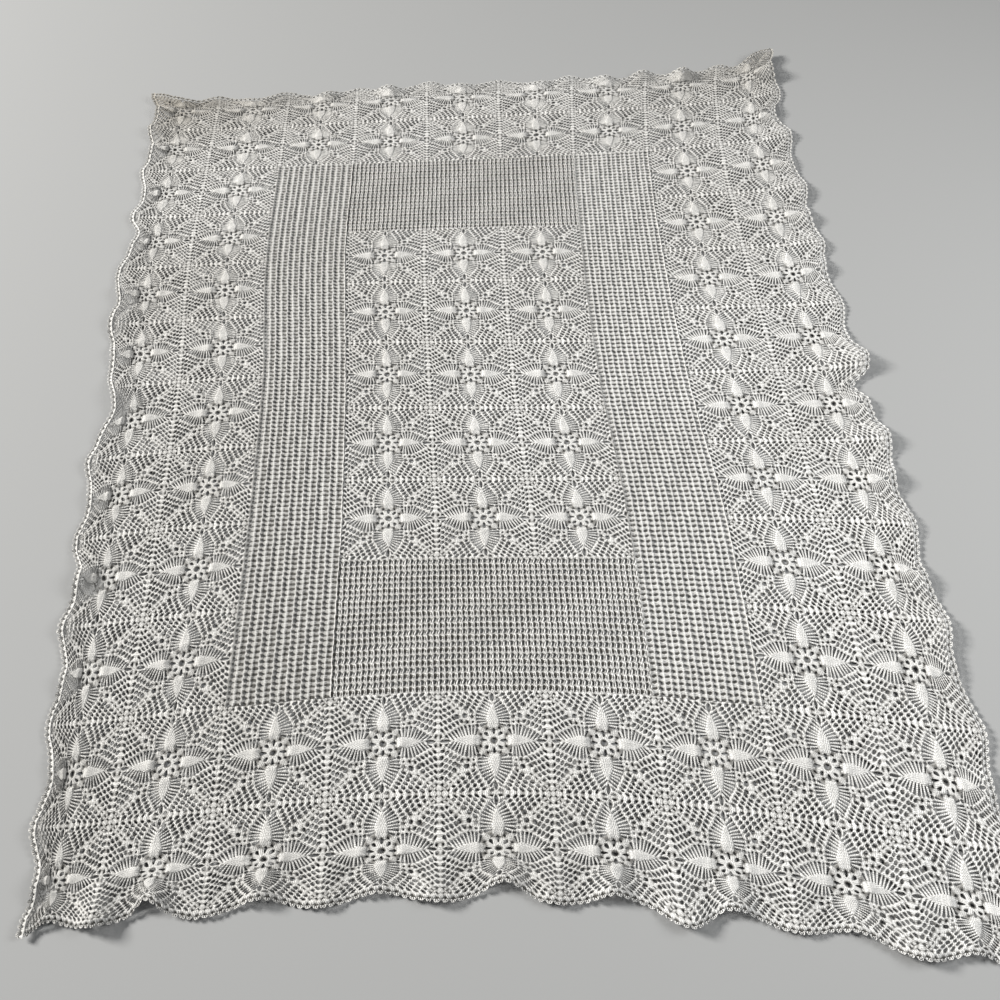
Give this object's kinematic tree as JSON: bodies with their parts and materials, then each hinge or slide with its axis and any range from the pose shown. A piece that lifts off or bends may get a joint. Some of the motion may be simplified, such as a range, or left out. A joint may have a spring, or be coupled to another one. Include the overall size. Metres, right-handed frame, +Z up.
{
  "type": "crochet bedspread",
  "caption": "Openwork cotton bedspread of crocheted leaf-and-star squares with plain mesh panels, a wide border and a shell edging, laid out with a ruffled rim.",
  "frame": {"origin": "middle of the laid bedspread's outline, on the floor under it", "axes": "+X across the width to the right edge, +Y along the length to the head edge, +Z up through the face"},
  "size_m": [1.843, 2.5754, 0.0372],
  "materials": {
    "centre_panel_yarn": "matt off-white cotton yarn, crocheted",
    "mesh_head_yarn": "matt off-white cotton yarn, crocheted",
    "mesh_foot_yarn": "matt off-white cotton yarn, crocheted",
    "mesh_left_yarn": "matt off-white cotton yarn, crocheted",
    "mesh_right_yarn": "matt off-white cotton yarn, crocheted",
    "border_head_yarn": "matt off-white cotton yarn, crocheted",
    "border_foot_yarn": "matt off-white cotton yarn, crocheted",
    "border_left_yarn": "matt off-white cotton yarn, crocheted",
    "border_right_yarn": "matt off-white cotton yarn, crocheted",
    "edging_head_yarn": "matt off-white cotton yarn, crocheted",
    "edging_foot_yarn": "matt off-white cotton yarn, crocheted",
    "edging_left_yarn": "matt off-white cotton yarn, crocheted",
    "edging_right_yarn": "matt off-white cotton yarn, crocheted"
  },
  "bodies": {
    "root": {"centre_panel": "centre_panel_yarn", "mesh_head": "mesh_head_yarn", "mesh_foot": "mesh_foot_yarn", "mesh_left": "mesh_left_yarn", "mesh_right": "mesh_right_yarn", "border_head": "border_head_yarn", "border_foot": "border_foot_yarn", "border_left": "border_left_yarn", "border_right": "border_right_yarn", "edging_head": "edging_head_yarn", "edging_foot": "edging_foot_yarn", "edging_left": "edging_left_yarn", "edging_right": "edging_right_yarn"}
  },
  "joints": []
}
